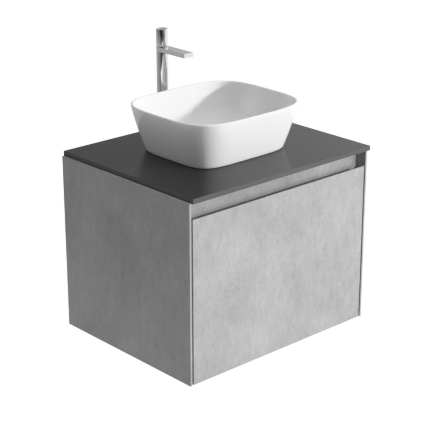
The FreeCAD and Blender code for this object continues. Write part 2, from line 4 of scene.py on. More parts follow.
import bmesh
import bpy
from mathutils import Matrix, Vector


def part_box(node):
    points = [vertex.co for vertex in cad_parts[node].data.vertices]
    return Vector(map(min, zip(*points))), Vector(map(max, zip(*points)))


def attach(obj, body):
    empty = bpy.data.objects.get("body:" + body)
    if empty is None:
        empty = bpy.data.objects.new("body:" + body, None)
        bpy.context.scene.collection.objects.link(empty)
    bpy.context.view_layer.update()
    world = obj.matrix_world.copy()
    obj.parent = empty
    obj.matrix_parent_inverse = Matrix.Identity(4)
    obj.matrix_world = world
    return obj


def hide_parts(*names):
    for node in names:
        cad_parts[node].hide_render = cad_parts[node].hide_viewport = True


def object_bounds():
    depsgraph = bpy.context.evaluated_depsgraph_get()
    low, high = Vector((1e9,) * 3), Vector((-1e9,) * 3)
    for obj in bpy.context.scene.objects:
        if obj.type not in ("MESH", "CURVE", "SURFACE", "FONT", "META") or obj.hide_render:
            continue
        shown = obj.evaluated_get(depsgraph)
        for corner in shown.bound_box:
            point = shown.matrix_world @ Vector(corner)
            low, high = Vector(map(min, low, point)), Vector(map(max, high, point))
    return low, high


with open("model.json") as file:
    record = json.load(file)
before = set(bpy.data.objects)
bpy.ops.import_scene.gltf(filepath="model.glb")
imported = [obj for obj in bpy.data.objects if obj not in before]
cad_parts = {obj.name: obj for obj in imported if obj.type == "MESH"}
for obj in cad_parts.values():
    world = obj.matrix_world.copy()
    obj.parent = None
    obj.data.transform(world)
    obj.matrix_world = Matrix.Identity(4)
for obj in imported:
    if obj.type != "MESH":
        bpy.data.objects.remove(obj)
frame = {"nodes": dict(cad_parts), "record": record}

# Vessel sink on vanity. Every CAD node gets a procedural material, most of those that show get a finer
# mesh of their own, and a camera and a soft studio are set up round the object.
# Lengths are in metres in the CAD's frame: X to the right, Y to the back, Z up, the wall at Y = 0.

CAD_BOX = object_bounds()
MM = 0.001
scene = bpy.context.scene


# ---------------------------------------------------------------- mesh helpers

AXES = {"X": Vector((1, 0, 0)), "Y": Vector((0, 1, 0)), "Z": Vector((0, 0, 1))}


def new_object(name, verts, faces):
    """Object with a new mesh, its faces turned outwards."""
    mesh = bpy.data.meshes.new(name)
    mesh.from_pydata([tuple(v) for v in verts], [], faces)
    mesh.validate()
    obj = bpy.data.objects.new(name, mesh)
    scene.collection.objects.link(obj)
    work = bmesh.new()
    work.from_mesh(mesh)
    bmesh.ops.recalc_face_normals(work, faces=work.faces)
    work.to_mesh(mesh)
    work.free()
    return obj


def apply_modifiers(obj):
    """Replaces the object's mesh with the one its modifiers make."""
    graph = bpy.context.evaluated_depsgraph_get()
    done = bpy.data.meshes.new_from_object(obj.evaluated_get(graph))
    obj.modifiers.clear()
    obj.data = done


def smooth(obj, degrees):
    """Smooth shading, with edges sharper than the angle kept sharp."""
    limit = math.radians(degrees)
    work = bmesh.new()
    work.from_mesh(obj.data)
    for face in work.faces:
        face.smooth = True
    for edge in work.edges:
        edge.smooth = len(edge.link_faces) == 2 and edge.calc_face_angle(0.0) < limit
    work.to_mesh(obj.data)
    work.free()


def bevel(obj, width, segments=3, degrees=30.0):
    """Rounds every edge sharper than the angle."""
    mod = obj.modifiers.new("bevel", "BEVEL")
    mod.width = width
    mod.segments = segments
    mod.limit_method = "ANGLE"
    mod.angle_limit = math.radians(degrees)
    mod.use_clamp_overlap = True
    mod.harden_normals = True
    for face in obj.data.polygons:
        face.use_smooth = True
    bpy.context.view_layer.update()
    apply_modifiers(obj)


def carve(obj, cutter):
    """Cuts the cutter out of the object and removes it."""
    mod = obj.modifiers.new("cut", "BOOLEAN")
    mod.operation = "DIFFERENCE"
    mod.solver = "EXACT"
    mod.object = cutter
    bpy.context.view_layer.update()
    apply_modifiers(obj)
    bpy.data.objects.remove(cutter)


def prism(name, profile, axis, low, high, round_off):
    """Solid with a flat profile, drawn along an axis from low to high, its edges rounded.

    The profile is a list of (u, v), which are the other two axes in X, Y, Z order.
    """
    def place(u, v, w):
        return {"X": (w, u, v), "Y": (u, w, v), "Z": (u, v, w)}[axis]

    count = len(profile)
    verts = [place(u, v, w) for w in (low, high) for u, v in profile]
    faces = [list(range(count)), list(range(2 * count - 1, count - 1, -1))]
    faces += [[i, (i + 1) % count, count + (i + 1) % count, count + i] for i in range(count)]
    obj = new_object(name, verts, faces)
    if round_off:
        bevel(obj, round_off)
    return obj


def block(name, low, high, round_off):
    """Box between two corners, its edges rounded."""
    profile = [(low[0], low[1]), (high[0], low[1]), (high[0], high[1]), (low[0], high[1])]
    return prism(name, profile, "Z", low[2], high[2], round_off)


def rings_mesh(name, rings, closed=False, caps=False):
    """Skin through rings of equal length. closed joins the last to the first, caps closes both ends."""
    count = len(rings[0])
    verts = [point for ring in rings for point in ring]
    pairs = len(rings) if closed else len(rings) - 1
    faces = []
    for r in range(pairs):
        a = r * count
        b = ((r + 1) % len(rings)) * count
        faces += [[a + i, a + (i + 1) % count, b + (i + 1) % count, b + i] for i in range(count)]
    if caps:
        faces.append(list(range(count)))
        faces.append([(len(rings) - 1) * count + i for i in range(count)][::-1])
    return new_object(name, verts, faces)


def circle(radius, centre, count, axis, wave=None):
    """Points round an axis. wave changes the radius by the turn."""
    points = []
    for i in range(count):
        turn = 2 * math.pi * i / count
        r = radius + (wave(turn) if wave else 0.0)
        u = r * math.cos(turn)
        v = r * math.sin(turn)
        offset = {"X": (0, u, v), "Y": (v, 0, u), "Z": (u, v, 0)}[axis]
        points.append(Vector(centre) + Vector(offset))
    return points


def lathe(name, profile, centre, axis, count, wave=None, ribbed=(), closed=True):
    """Body of revolution. profile is a list of (radius, height along the axis from centre).

    The profile's points numbered in ribbed follow wave. closed=False gives flat ends instead of a bore.
    """
    rings = []
    for k, (radius, height) in enumerate(profile):
        middle = Vector(centre) + AXES[axis] * height
        rings.append(circle(radius, middle, count, axis, wave if k in ribbed else None))
    return rings_mesh(name, rings, closed=closed, caps=not closed)


def arc(u, v, radius, start, end, steps):
    """Points (u, v) along an arc, angles in degrees."""
    turns = [math.radians(start + (end - start) * i / steps) for i in range(steps + 1)]
    return [(u + radius * math.cos(t), v + radius * math.sin(t)) for t in turns]


def part_way(start, end, share):
    return start + (end - start) * share


def middle_of(node):
    """The x and y of a node's middle."""
    low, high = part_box(node)
    return (low.x + high.x) / 2, (low.y + high.y) / 2


def radius_of(node):
    """Half the width of a round node."""
    low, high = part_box(node)
    return (high.x - low.x) / 2


# ---------------------------------------------------------------- materials

NOISE_LOW, NOISE_HIGH = 0.3, 0.7    # a noise's values lie mostly between these
GRAIN_SHARE = 0.6                   # how much of its fine grain a material shows


def rgb(grey, warm=0.0):
    """A grey as a colour. warm takes it from blue towards red."""
    return (grey * (1 + warm), grey, grey * (1 - warm), 1.0)


class Look:
    """One procedural material: noise in the object's own coordinates for colour, roughness and bump."""

    def __init__(self, name, roughness, metallic=0.0):
        self.material = bpy.data.materials.new(name)
        self.material.use_nodes = True
        self.tree = self.material.node_tree
        self.shader = self.tree.nodes["Principled BSDF"]
        self.shader.inputs["Metallic"].default_value = metallic
        self.shader.inputs["Roughness"].default_value = roughness
        self.place = self.tree.nodes.new("ShaderNodeTexCoord")

    def node(self, kind, **values):
        made = self.tree.nodes.new(kind)
        for key, value in values.items():
            setattr(made, key, value)
        return made

    def noise(self, scale, detail=3.0, stretch=(1, 1, 1), rough=0.5):
        """Noise with scale features to a metre. A stretch below 1 draws them out along that axis."""
        mapping = self.node("ShaderNodeMapping")
        mapping.inputs["Scale"].default_value = stretch
        self.tree.links.new(self.place.outputs["Object"], mapping.inputs["Vector"])
        noise = self.node("ShaderNodeTexNoise")
        noise.inputs["Scale"].default_value = scale
        noise.inputs["Detail"].default_value = detail
        noise.inputs["Roughness"].default_value = rough
        self.tree.links.new(mapping.outputs["Vector"], noise.inputs["Vector"])
        return noise.outputs["Fac"]

    def ramp(self, value, stops):
        """stops is a list of (place, colour)."""
        ramp = self.node("ShaderNodeValToRGB")
        elements = ramp.color_ramp.elements
        while len(elements) < len(stops):
            elements.new(0.5)
        for element, (place, colour) in zip(elements, stops):
            element.position = place
            element.color = colour
        self.tree.links.new(value, ramp.inputs["Fac"])
        return ramp.outputs["Color"]

    def tones(self, value, low, high):
        """Colours from low to high over a noise's usual range."""
        return self.ramp(value, [(NOISE_LOW, low), (NOISE_HIGH, high)])

    def mix(self, a, b, share, blend="MIX"):
        mix = self.node("ShaderNodeMix", data_type="RGBA", blend_type=blend)
        self.tree.links.new(a, mix.inputs["A"])
        self.tree.links.new(b, mix.inputs["B"])
        if isinstance(share, float):
            mix.inputs["Factor"].default_value = share
        else:
            self.tree.links.new(share, mix.inputs["Factor"])
        return mix.outputs["Result"]

    def spread(self, value, low, high):
        """Numbers from low to high over a noise's usual range."""
        made = self.node("ShaderNodeMapRange")
        made.inputs["From Min"].default_value = NOISE_LOW
        made.inputs["From Max"].default_value = NOISE_HIGH
        made.inputs["To Min"].default_value = low
        made.inputs["To Max"].default_value = high
        self.tree.links.new(value, made.inputs["Value"])
        return made.outputs["Result"]

    def facing_up(self, start, end):
        """Nothing on upright faces, rising to all where the surface's own normal points up."""
        parts = self.node("ShaderNodeSeparateXYZ")
        self.tree.links.new(self.place.outputs["Normal"], parts.inputs["Vector"])
        made = self.node("ShaderNodeMapRange")
        made.inputs["From Min"].default_value = start
        made.inputs["From Max"].default_value = end
        self.tree.links.new(parts.outputs["Z"], made.inputs["Value"])
        return made.outputs["Result"]

    def colour(self, socket):
        self.tree.links.new(socket, self.shader.inputs["Base Color"])

    def roughness(self, value, low, high):
        self.tree.links.new(self.spread(value, low, high), self.shader.inputs["Roughness"])

    def specular(self, level):
        self.shader.inputs["Specular IOR Level"].default_value = level

    def bump(self, value, distance, strength):
        bump = self.node("ShaderNodeBump")
        bump.inputs["Distance"].default_value = distance
        bump.inputs["Strength"].default_value = strength
        self.tree.links.new(value, bump.inputs["Height"])
        self.tree.links.new(bump.outputs["Normal"], self.shader.inputs["Normal"])


def concrete_look():
    """Printed concrete: soft clouds, fine upright streaks, small pale and dark flecks."""
    look = Look("concrete_laminate", 0.55)
    clouds = look.noise(6.0, 4.0, (1, 1, 0.8), 0.55)
    patches = look.noise(40.0, 5.0, (1, 1, 0.55), 0.7)
    streaks = look.noise(160.0, 4.0, (1, 1, 0.22), 0.65)
    flecks = look.noise(240.0, 3.0, (1, 1, 0.6), 0.6)
    base = look.ramp(clouds, [(0.30, rgb(0.338)), (0.50, rgb(0.382)), (0.70, rgb(0.420))])
    blots = look.ramp(patches, [(0.30, rgb(0.88)), (0.50, rgb(1.0)), (0.68, rgb(1.10))])
    lines = look.ramp(streaks, [(0.32, rgb(0.86)), (0.52, rgb(1.0)), (0.72, rgb(1.10))])
    grains = look.ramp(flecks, [(0.30, rgb(0.84)), (0.50, rgb(1.0)), (0.70, rgb(1.10))])
    toned = look.mix(look.mix(base, blots, 0.8, "MULTIPLY"), lines, 0.5, "MULTIPLY")
    look.colour(look.mix(toned, grains, GRAIN_SHARE, "MULTIPLY"))
    look.roughness(streaks, 0.50, 0.62)
    look.bump(flecks, 0.08 * MM, 0.5)
    look.specular(0.35)
    return look.material


def speckled(name, grey, roughness, warm=0.0,
             scale=160.0, contrast=0.06, bump=0.03 * MM, stretch=(1, 1, 1)):
    """A plain finish with slight variation of colour, gloss and surface."""
    look = Look(name, roughness)
    broad = look.noise(14.0)
    fine = look.noise(scale, stretch=stretch)
    low = rgb(grey * (1 - contrast), warm)
    high = rgb(grey * (1 + contrast), warm)
    tone = look.tones(broad, low, high)
    grain = look.tones(fine, rgb(1 - contrast), rgb(1.0))
    look.colour(look.mix(tone, grain, GRAIN_SHARE, "MULTIPLY"))
    look.roughness(fine, roughness * 0.85, roughness * 1.15)
    look.bump(fine, bump, 0.4)
    return look.material


def metal(name, colour, roughness, scale, stretch=(1, 1, 1)):
    """Bare or plated metal, slightly uneven in tone and gloss."""
    look = Look(name, roughness, 1.0)
    fine = look.noise(scale, stretch=stretch)
    darker = tuple(c * 0.94 for c in colour)
    look.colour(look.tones(fine, darker + (1.0,), colour + (1.0,)))
    look.roughness(fine, roughness * 0.8, roughness * 1.2)
    look.bump(fine, 0.01 * MM, 0.3)
    return look.material


def wood_look():
    """Pale beech with its grain along X, as the dowels lie."""
    look = Look("dowel_wood", 0.6)
    grain = look.noise(90.0, 4.0, (0.12, 1, 1))
    look.colour(look.tones(grain, (0.42, 0.29, 0.15, 1), (0.62, 0.46, 0.27, 1)))
    look.bump(grain, 0.1 * MM, 0.5)
    return look.material


def ceramic_look():
    """White glaze with very slight waves."""
    look = Look("glazed_ceramic", 0.08)
    broad = look.noise(5.0, 2.0)
    waves = look.noise(60.0, 2.0)
    look.colour(look.tones(broad, rgb(0.88), rgb(0.90)))
    look.roughness(broad, 0.06, 0.10)
    look.bump(waves, 0.04 * MM, 0.25)
    return look.material


def worktop_look():
    """Dark solid top with a satin polish. Its upright faces are rougher and painted paler, a painted sheen
    of light along the edges.
    """
    look = Look("dark_worktop", 0.3)
    broad = look.noise(7.0)
    fine = look.noise(420.0, 2.0)
    facing_up = look.facing_up(0.75, 0.98)
    polished = look.tones(broad, rgb(0.030), rgb(0.034))
    # painted sheen: upright faces get a paler colour than the top, standing in for light caught on the
    # edges
    painted_sheen_edges = look.tones(broad, rgb(0.100), rgb(0.112))
    grain = look.tones(fine, rgb(0.92), rgb(1.0))
    look.colour(look.mix(look.mix(painted_sheen_edges, polished, facing_up), grain, GRAIN_SHARE, "MULTIPLY"))
    gloss = look.mix(look.spread(broad, 0.48, 0.52), look.spread(broad, 0.18, 0.24), facing_up)
    look.tree.links.new(gloss, look.shader.inputs["Roughness"])
    look.bump(fine, 0.006 * MM, 0.2)
    look.specular(0.17)
    return look.material


LOOKS = {
    "concrete_laminate": concrete_look(),
    "grey_board": speckled("grey_board", 0.52, 0.5, 0.01, stretch=(1, 1, 0.2)),
    "dark_worktop": worktop_look(),
    "glazed_ceramic": ceramic_look(),
    "chrome": metal("chrome", (0.76, 0.76, 0.77), 0.06, 40.0),
    "plated_steel": metal("plated_steel", (0.62, 0.63, 0.65), 0.30, 120.0, (1, 0.2, 1)),
    "zinc": metal("zinc", (0.52, 0.53, 0.55), 0.42, 200.0),
    "brass": metal("brass", (0.80, 0.62, 0.30), 0.25, 300.0, (1, 1, 4)),
    "copper": metal("copper", (0.86, 0.50, 0.36), 0.22, 200.0, (1, 1, 0.1)),
    "rubber": speckled("rubber", 0.025, 0.75, scale=500.0, contrast=0.2, bump=0.1 * MM),
    "white_plastic": speckled("white_plastic", 0.78, 0.3, 0.008, scale=240.0, contrast=0.03),
    "grey_plastic": speckled("grey_plastic", 0.22, 0.5, scale=700.0, contrast=0.08, bump=0.1 * MM),
    "dowel_wood": wood_look(),
}
SLOT_OF = {part["node"]: part["material_slot"] for part in frame["record"]["subparts"]}
BODIES = frame["record"]["behaviour"]["bodies"]
BODY_OF = {node: body for body, nodes in BODIES.items() for node in nodes}


def dress(obj, slot):
    """Gives the object one material and no other."""
    obj.data.materials.clear()
    obj.data.materials.append(LOOKS[slot])


def belongs_to(obj, node):
    """obj takes a CAD node's body and finish."""
    dress(obj, SLOT_OF[node])
    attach(obj, BODY_OF[node])


def stands_for(obj, node):
    """obj takes a CAD node's place, body and finish."""
    belongs_to(obj, node)
    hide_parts(node)
    return obj


for node_name, node_object in frame["nodes"].items():
    dress(node_object, SLOT_OF[node_name])


# ---------------------------------------------------------------- camera

CAMERA_AZ = -42.471         # degrees
CAMERA_EL = 20.519
CAMERA_DISTANCE = 3.4846
CAMERA_TARGET = Vector((-0.01094, -0.260, -0.1233))
CAMERA_LENS = 113.39        # millimetres, as the sensor
CAMERA_SENSOR = 36.0
CAMERA_REACH = 50.0


def way_to(azimuth, elevation):
    """Direction from the object, in degrees. Azimuth 0 is the front and grows to the right."""
    turn = math.radians(azimuth)
    rise = math.radians(elevation)
    level = math.cos(rise)
    return Vector((math.sin(turn) * level, -math.cos(turn) * level, math.sin(rise)))


def aim(obj, target):
    obj.rotation_euler = (Vector(target) - obj.location).to_track_quat("-Z", "Y").to_euler()


camera_data = bpy.data.cameras.new("camera")
camera_data.lens = CAMERA_LENS
camera_data.sensor_width = CAMERA_SENSOR
camera_data.clip_end = CAMERA_REACH
camera = bpy.data.objects.new("camera", camera_data)
scene.collection.objects.link(camera)
camera.location = CAMERA_TARGET + CAMERA_DISTANCE * way_to(CAMERA_AZ, CAMERA_EL)
aim(camera, CAMERA_TARGET)
scene.camera = camera


# ---------------------------------------------------------------- studio

low_box, high_box = Vector(CAD_BOX[0]), Vector(CAD_BOX[1])
centre = (low_box + high_box) / 2

WHITE = 1.26                                # the brightness that shows as pure white
KEPT_TONES = (0.25, 0.50, 0.68, 0.82)       # these show as they are
ROLL_OFF = ((1.0, 0.91), (1.13, 0.955))     # brighter tones, and what they show as
COMBINED = 3                                # the view's curve for all three colours

FLOOR_Z = low_box.z - 0.39
FLOOR_HALF = 8.0

# The studio's brightness: a base, and glows as (way, start, end, amount). start and end are cosines
STUDIO_BASE = 0.13
STUDIO_GLOWS = [
    ((0.0, 0.0, -1.0), 0.1, 0.8, 0.45),         # pale floor
    ((0.92, -0.25, -0.3), 0.45, 0.9, 0.85),     # bright right side
    ((0.3, 0.95, 0.0), 0.3, 1.0, 0.28),         # backdrop
    ((0.0, 0.0, 1.0), 0.4, 1.0, 0.52),          # ceiling
    ((0.2, -0.7, 0.68), 0.3, 1.0, 0.45),        # high front
    ((0.88, 0.36, 0.3), 0.86, 1.0, 0.86),       # behind, right
    ((-0.75, 0.3, -0.6), 0.6, 1.0, 0.18),       # behind, low left
    ((-0.46, 0.81, -0.36), 0.88, 1.0, 0.14),    # low behind
    ((-0.5, -0.8, -0.33), 0.5, 1.0, -0.09),     # dark side, front left
    ((-1.0, 0.0, 0.1), 0.0, 1.0, -0.035),       # dim left side
]


def soft_highlights():
    """Tones near white roll off gently, so a brightly lit glaze keeps its form. Darker tones stay."""
    settings = scene.view_settings
    settings.view_transform = "Standard"
    settings.use_curve_mapping = True
    mapping = settings.curve_mapping
    mapping.clip_max_x = WHITE
    curve = mapping.curves[COMBINED]
    curve.points[0].location = (0.0, 0.0)
    curve.points[1].location = (WHITE, 1.0)
    for tone in KEPT_TONES:
        curve.points.new(tone, tone)
    for tone, shown in ROLL_OFF:
        curve.points.new(tone, shown)
    mapping.update()


def glow(tree, coords, way, start, end, amount):
    """Brightness that rises from nothing to the amount as the direction nears a way."""
    dot = tree.nodes.new("ShaderNodeVectorMath")
    dot.operation = "DOT_PRODUCT"
    dot.inputs[1].default_value = way
    level = tree.nodes.new("ShaderNodeMapRange")
    level.interpolation_type = "SMOOTHSTEP"
    level.inputs["From Min"].default_value = start
    level.inputs["From Max"].default_value = end
    level.inputs["To Min"].default_value = 0.0
    level.inputs["To Max"].default_value = amount
    tree.links.new(coords, dot.inputs[0])
    tree.links.new(dot.outputs["Value"], level.inputs["Value"])
    return level.outputs["Result"]


def make_world():
    """A studio with soft glows, seen as plain white."""
    world = bpy.data.worlds.new("studio")
    scene.world = world
    world.use_nodes = True
    tree = world.node_tree
    lighting = tree.nodes["Background"]
    lighting.inputs["Color"].default_value = (1, 1, 1, 1)
    coords = tree.nodes.new("ShaderNodeTexCoord").outputs["Generated"]
    total = None
    for way, start, end, amount in STUDIO_GLOWS:
        add = tree.nodes.new("ShaderNodeMath")
        add.operation = "ADD"
        add.inputs[0].default_value = STUDIO_BASE
        if total:
            tree.links.new(total, add.inputs[0])
        tree.links.new(glow(tree, coords, way, start, end, amount), add.inputs[1])
        total = add.outputs[0]
    tree.links.new(total, lighting.inputs["Strength"])
    seen = tree.nodes.new("ShaderNodeBackground")
    seen.inputs["Color"].default_value = (1, 1, 1, 1)
    seen.inputs["Strength"].default_value = WHITE
    path = tree.nodes.new("ShaderNodeLightPath")
    mix = tree.nodes.new("ShaderNodeMixShader")
    tree.links.new(path.outputs["Is Camera Ray"], mix.inputs["Fac"])
    tree.links.new(lighting.outputs[0], mix.inputs[1])
    tree.links.new(seen.outputs[0], mix.inputs[2])
    tree.links.new(mix.outputs[0], tree.nodes["World Output"].inputs["Surface"])


def make_floor():
    """Plain pale floor that only the camera sees. Its light on the object is one of the studio's glows."""
    corners = [(-1, -1), (1, -1), (1, 1), (-1, 1)]
    verts = [(x * FLOOR_HALF, y * FLOOR_HALF, FLOOR_Z) for x, y in corners]
    floor = new_object("floor", verts, [[0, 1, 2, 3]])
    material = bpy.data.materials.new("floor")
    material.use_nodes = True
    shader = material.node_tree.nodes["Principled BSDF"]
    shader.inputs["Base Color"].default_value = (0.0, 0.0, 0.0, 1)
    shader.inputs["Specular IOR Level"].default_value = 0.0
    shader.inputs["Emission Color"].default_value = (1, 1, 1, 1)
    shader.inputs["Emission Strength"].default_value = WHITE
    floor.data.materials.append(material)
    floor.visible_diffuse = False
    floor.visible_glossy = False
    floor.visible_transmission = False
    floor.visible_shadow = False


def disk_light(name, target, azimuth, elevation, distance, size, power):
    """Soft light aimed at a point, which no surface mirrors."""
    data = bpy.data.lights.new(name, "AREA")
    data.shape = "DISK"
    data.size = size
    data.energy = power
    light = bpy.data.objects.new(name, data)
    scene.collection.objects.link(light)
    light.location = Vector(target) + way_to(azimuth, elevation) * distance
    light.visible_glossy = False
    aim(light, target)
    return light


def passes(light, pieces):
    """The light shines past these pieces, so they throw no shadow from it."""
    passed = bpy.data.collections.new(light.name + "_passes")
    for piece in pieces:
        passed.objects.link(piece)
    for entry in passed.collection_objects:
        entry.light_linking.link_state = "EXCLUDE"
    light.light_linking.blocker_collection = passed


def only_for(light, pieces):
    """The light shines on these pieces alone."""
    lit = bpy.data.collections.new(light.name + "_lit")
    for piece in pieces:
        lit.objects.link(piece)
    light.light_linking.receiver_collection = lit


soft_highlights()
make_world()
make_floor()
panel_foot = Vector((low_box.x, centre.y, low_box.z + 50.0 * MM))
key_light = disk_light("key", centre,
                       azimuth=36.0, elevation=15.0, distance=6.0, size=0.50, power=240.0)
disk_light("front", centre,
           azimuth=21.0, elevation=3.0, distance=6.0, size=1.35, power=83.0)
disk_light("low_left", panel_foot,
           azimuth=-90.0, elevation=-28.0, distance=0.86, size=0.5, power=1.1)
basin_fill = disk_light("basin_fill", centre,
                        azimuth=-124.0, elevation=8.0, distance=2.0, size=0.8, power=4.0)


# ---------------------------------------------------------------- cabinet

EDGE = 0.7 * MM
LIP = 6.0 * MM
REBATE_DEPTH = 49.0 * MM
FINGER_BEVEL = 20.0 * MM


def board(node):
    """A plain board, its edges eased as a banded edge is."""
    low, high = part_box(node)
    stands_for(block(node + "_board", low, high, EDGE), node)


def side_panel(side):
    """Laminated panel with a rebate in front, as an L drawn from the underside up."""
    node = "side_panel_" + side
    low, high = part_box(node)
    outer, inner, inwards = (low.x, high.x, 1) if side == "left" else (high.x, low.x, -1)
    lip = outer + inwards * LIP
    step = low.y + REBATE_DEPTH
    profile = [(outer, low.y), (lip, low.y), (lip, step), (inner, step), (inner, high.y), (outer, high.y)]
    return stands_for(prism(node + "_board", profile, "Z", low.z, high.z, EDGE), node)


def shade_cards():
    """Unseen cards inside the right panel's lip, against the key light.

    It shines past that panel, and they keep it out of the gap below the drawer front's top.
    """
    low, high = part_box("drawer_front")
    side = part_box("side_panel_right")[1].x - LIP / 2
    front = low.y + 1.0 * MM
    back = low.y + REBATE_DEPTH
    thick = 0.5 * MM
    front_drop = 2.0 * MM
    side_drop = 8.0 * MM
    cards = {
        "shade_card_front": ((high.x, front, low.z), (side, front + thick, high.z - front_drop)),
        "shade_card_side": ((side, front, low.z), (side + thick, back, high.z - side_drop)),
    }
    for name, (first, last) in cards.items():
        card = block(name, first, last, 0.0)
        card.visible_camera = False
        card.visible_diffuse = False
        card.visible_glossy = False
        card.visible_transmission = False


def drawer_front():
    """Handleless front, bevelled at the back of its top edge for the fingers."""
    low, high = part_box("drawer_front")
    profile = [
        (low.y, low.z), (high.y, low.z), (high.y, high.z - FINGER_BEVEL),
        (high.y - FINGER_BEVEL, high.z), (low.y, high.z),
    ]
    stands_for(prism("drawer_front_board", profile, "X", low.x, high.x, EDGE), "drawer_front")


# The key light passes the side panels and the worktop, which keeps the grip recess bright
passes(key_light, [side_panel("left"), side_panel("right"), frame["nodes"]["worktop"]])
shade_cards()
drawer_front()
for name in ("fascia_rail", "back_rail_lower", "back_rail_upper"):
    board(name)


# ---------------------------------------------------------------- basin

basin_low, basin_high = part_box("basin")
BASIN_X, BASIN_Y = middle_of("basin")
BASIN_H = basin_high.z - basin_low.z
BASIN_SEGMENTS = 192

RIM_X = (basin_high.x - basin_low.x) / 2
RIM_Y = (basin_high.y - basin_low.y) / 2
RIM_R = 2.6 * MM
FOOT_X = 149.5 * MM
FOOT_Y = 126.5 * MM
FOOT_R = 2.8 * MM
WALL = 7.0 * MM
WALL_BOW = 0.17             # how far the wall swells beyond a straight slope
BOWL_DRAFT = 3.0 * MM       # how much the wall thickens on its way down
BOWL_R = 46.0 * MM
FLOOR_H = 16.0 * MM
FLOOR_FLARE = 0.14          # the floor's outline, as a share of the way from the foot's to the rim's
SEAT_R = 32.0 * MM
SEAT_DEPTH = 3.0 * MM
SEAT_EDGE = 0.4 * MM
WASTE_R = 23.0 * MM
FOOT_RECESS = 3.0 * MM

# Level sections are superellipses. The exponent is 2 for a round one and grows as corners get squarer
ROUND = 2.0
RIM_CORNERS = 3.84
FLOOR_CORNERS = 4.9
FOOT_CORNERS = 5.1


def oval(half_x, half_y, exponent, height):
    points = []
    for i in range(BASIN_SEGMENTS):
        turn = 2 * math.pi * i / BASIN_SEGMENTS
        c = math.cos(turn)
        s = math.sin(turn)
        reach = (abs(c / half_x) ** exponent + abs(s / half_y) ** exponent) ** (-1 / exponent)
        points.append((BASIN_X + reach * c, BASIN_Y + reach * s, basin_low.z + height))
    return points


def wall_at(height, inset):
    """Section of the basin's outside at a height, drawn in by inset."""
    rise = max(0.0, min(1.0, height / BASIN_H))
    flare = rise + WALL_BOW * rise * (1 - rise)
    half_x = part_way(FOOT_X, RIM_X, flare) - inset
    half_y = part_way(FOOT_Y, RIM_Y, flare) - inset
    return oval(half_x, half_y, part_way(FOOT_CORNERS, RIM_CORNERS, rise), height)


def wall_arc(inset, height, radius, start, end, steps):
    return [wall_at(v, u) for u, v in arc(inset, height, radius, start, end, steps)]


def basin():
    """Vessel basin as one closed skin: up the outside, over the rim, down the bowl, back underneath."""
    top = BASIN_H - RIM_R
    wall_steps = 16
    rings = wall_arc(FOOT_R, FOOT_R, FOOT_R, 270, 180, 4)
    rings += [wall_at(part_way(FOOT_R, top, i / wall_steps), 0.0) for i in range(1, wall_steps)]
    rings += wall_arc(RIM_R, top, RIM_R, 180, 90, 5)
    rings += wall_arc(WALL - RIM_R, top, RIM_R, 90, 0, 5)

    knee = FLOOR_H + BOWL_R
    knee_inset = WALL + BOWL_DRAFT
    bowl_steps = 10
    for i in range(1, bowl_steps):
        share = i / bowl_steps
        rings.append(wall_at(part_way(top, knee, share), part_way(WALL, knee_inset, share)))
    rings += wall_arc(knee_inset + BOWL_R, knee, BOWL_R, 180, 270, 12)

    edge_x = part_way(FOOT_X, RIM_X, FLOOR_FLARE) - knee_inset - BOWL_R
    edge_y = part_way(FOOT_Y, RIM_Y, FLOOR_FLARE) - knee_inset - BOWL_R
    floor_steps = 8
    for i in range(1, floor_steps + 1):
        share = i / floor_steps
        half_x = part_way(edge_x, SEAT_R, share)
        half_y = part_way(edge_y, SEAT_R, share)
        rings.append(oval(half_x, half_y, part_way(FLOOR_CORNERS, ROUND, share), FLOOR_H))

    seat_z = FLOOR_H - SEAT_DEPTH
    seat = [
        (SEAT_R - SEAT_EDGE, FLOOR_H - SEAT_EDGE), (SEAT_R - SEAT_EDGE, seat_z),
        (WASTE_R, seat_z), (WASTE_R, FOOT_RECESS),
    ]
    rings += [oval(radius, radius, ROUND, height) for radius, height in seat]
    foot_ring = [(FOOT_RECESS, 14.0 * MM), (0.4 * MM, 13.0 * MM), (0.0, 12.5 * MM)]
    rings += [wall_at(height, inset) for height, inset in foot_ring]

    obj = rings_mesh("basin_glazed", rings, closed=True)
    smooth(obj, 40.0)
    return stands_for(obj, "basin")


only_for(basin_fill, [basin()])


# ---------------------------------------------------------------- tap

tap_low, tap_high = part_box("tap_body")
handle_low, handle_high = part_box("tap_handle")
TAP_X, TAP_Y = middle_of("tap_handle")
TAP_R = radius_of("tap_handle")
TAP_SEGMENTS = 96
SPOUT_T = 11.5 * MM
SPOUT_LEAN = 3.0            # degrees that the spout's end leans back


